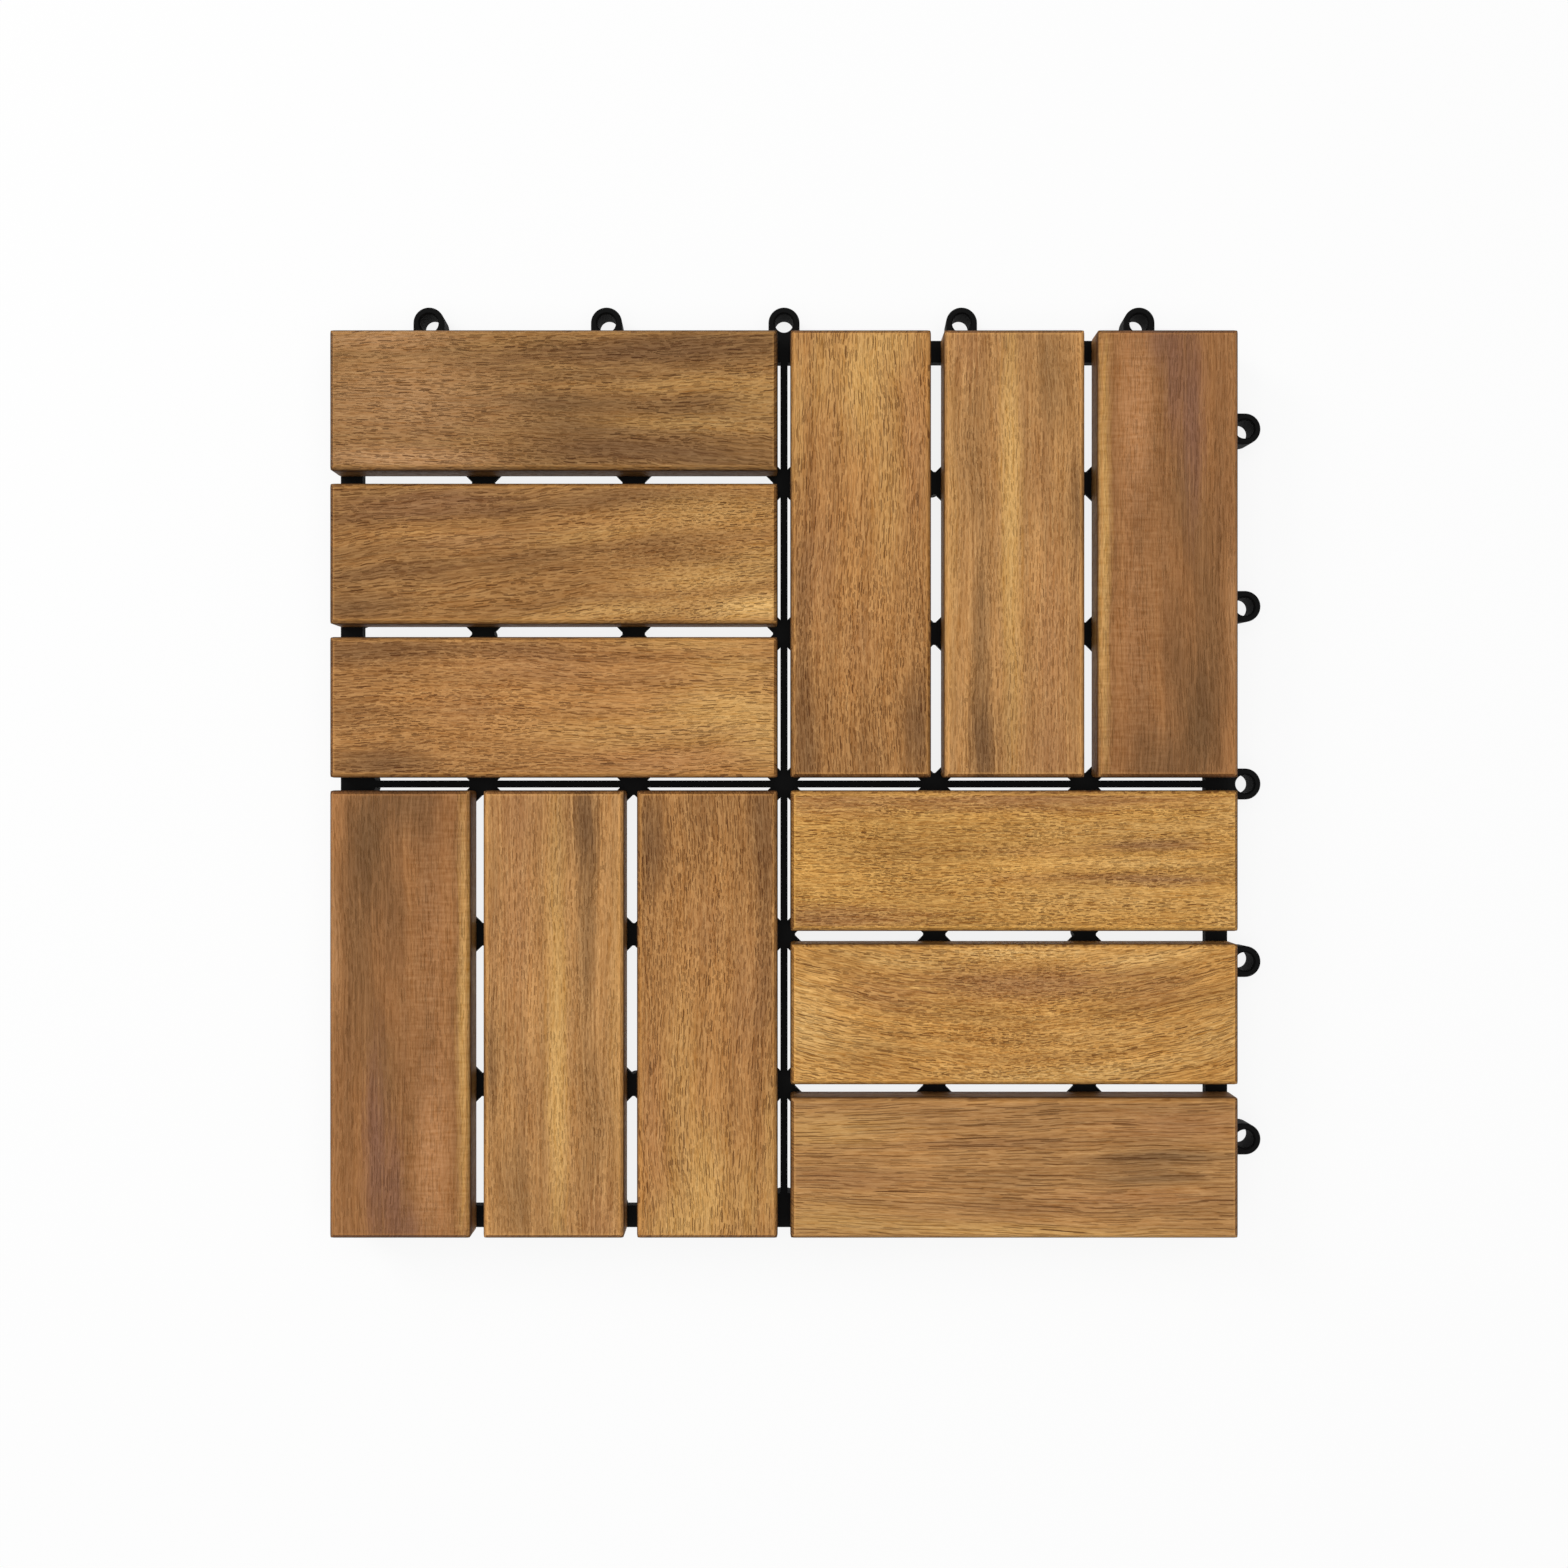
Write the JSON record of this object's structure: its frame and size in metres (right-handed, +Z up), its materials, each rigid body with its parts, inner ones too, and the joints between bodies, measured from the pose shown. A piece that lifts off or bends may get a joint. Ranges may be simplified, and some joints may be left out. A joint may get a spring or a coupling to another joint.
{
  "type": "interlocking deck tile",
  "caption": "Square floor tile of hardwood slats in a basket pattern on a moulded plastic grid base, with link loops on two edges and link pegs on the other two.",
  "frame": {"origin": "middle of the square tile at floor level, on the underside of the middle foot", "axes": "+X to the right edge with loops, +Y to the back edge with loops, +Z up through the slats"},
  "size_m": [0.3111, 0.3111, 0.024],
  "materials": {
    "acacia": "oiled, satin",
    "black_plastic": "moulded, satin",
    "screw_steel": "zinc plated"
  },
  "bodies": {
    "root": {"slat_ne_1": "acacia", "slat_ne_2": "acacia", "slat_ne_3": "acacia", "slat_nw_1": "acacia", "slat_nw_2": "acacia", "slat_nw_3": "acacia", "slat_sw_1": "acacia", "slat_sw_2": "acacia", "slat_sw_3": "acacia", "slat_se_1": "acacia", "slat_se_2": "acacia", "slat_se_3": "acacia", "base_grid": "black_plastic", "slat_screws": "screw_steel"}
  },
  "joints": []
}
